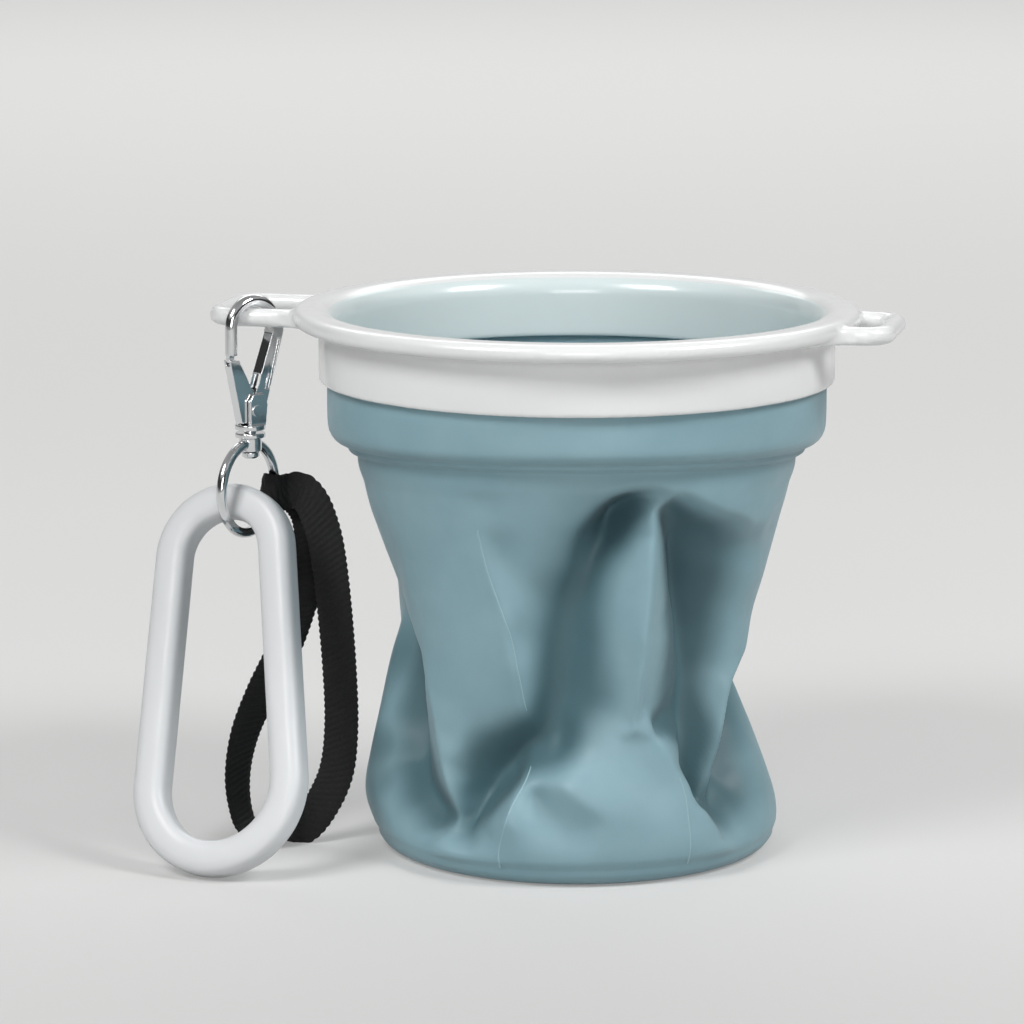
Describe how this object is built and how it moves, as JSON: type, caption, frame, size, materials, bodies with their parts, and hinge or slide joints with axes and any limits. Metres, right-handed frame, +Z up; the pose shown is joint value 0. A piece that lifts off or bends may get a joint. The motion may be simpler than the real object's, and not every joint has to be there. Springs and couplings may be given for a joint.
{
  "type": "collapsible silicone bowl",
  "caption": "Folding silicone bowl with a rigid plastic rim and loop ears, carried by a swivel snap hook with an oblong grip link and a webbing wrist strap.",
  "frame": {"origin": "centre of the base's underside, on the table", "axes": "+Z up along the bowl's axis, -Y toward the front seen in the picture, -X toward the hook"},
  "size_m": [0.2084, 0.154, 0.1513],
  "materials": {
    "rim_plastic": "glossy white moulded plastic",
    "silicone": "matt blue-grey silicone",
    "plated_metal": "bright nickel or chrome plating on a die casting",
    "spring_steel": "drawn spring wire",
    "link_plastic": "satin white moulded plastic",
    "webbing": "black ribbed webbing"
  },
  "bodies": {
    "rim": {"rim_collar": "rim_plastic", "clamp_ring": "rim_plastic", "silicone_cuff": "silicone"},
    "base": {"silicone_base": "silicone", "silicone_wall": "silicone"},
    "hook": {"hook_body": "plated_metal", "gate_pin": "plated_metal", "gate_spring": "spring_steel", "swivel_stem": "plated_metal"},
    "gate": {"hook_gate": "plated_metal"},
    "eye": {"swivel_eye": "plated_metal", "strap": "webbing"},
    "link": {"grip_link": "link_plastic"}
  },
  "joints": [
    {"name": "collapse", "type": "slide", "parent": "rim", "child": "base", "axis": [0, 0, 1], "range_m": [-0.012, 0.075], "deforming": ["silicone_wall"]},
    {"name": "hook_swing", "type": "hinge", "parent": "rim", "child": "hook", "pos_m": [-0.08799, 0.00414, 0.1447], "axis": [-0.9763, 0.2164, 0], "range_deg": [-35, 60]},
    {"name": "gate_open", "type": "hinge", "parent": "hook", "child": "gate", "pos_m": [-0.08878, 0.00348, 0.11945], "axis": [-0.6388, 0.7694, 0], "range_deg": [0, 24], "stiffness_Nm_per_rad": 0.03, "springref_deg": -17.19, "deforming": ["gate_spring"]},
    {"name": "eye_swivel", "type": "hinge", "parent": "hook", "child": "eye", "pos_m": [-0.08891, 0.00338, 0.10815], "axis": [0, 0, 1], "range_deg": [-150, 30], "deforming": ["strap"]},
    {"name": "link_swing", "type": "hinge", "parent": "eye", "child": "link", "pos_m": [-0.09113, -0.00007, 0.09429], "axis": [-0.924, 0.3411, -0.1726], "range_deg": [-27, 75]}
  ]
}
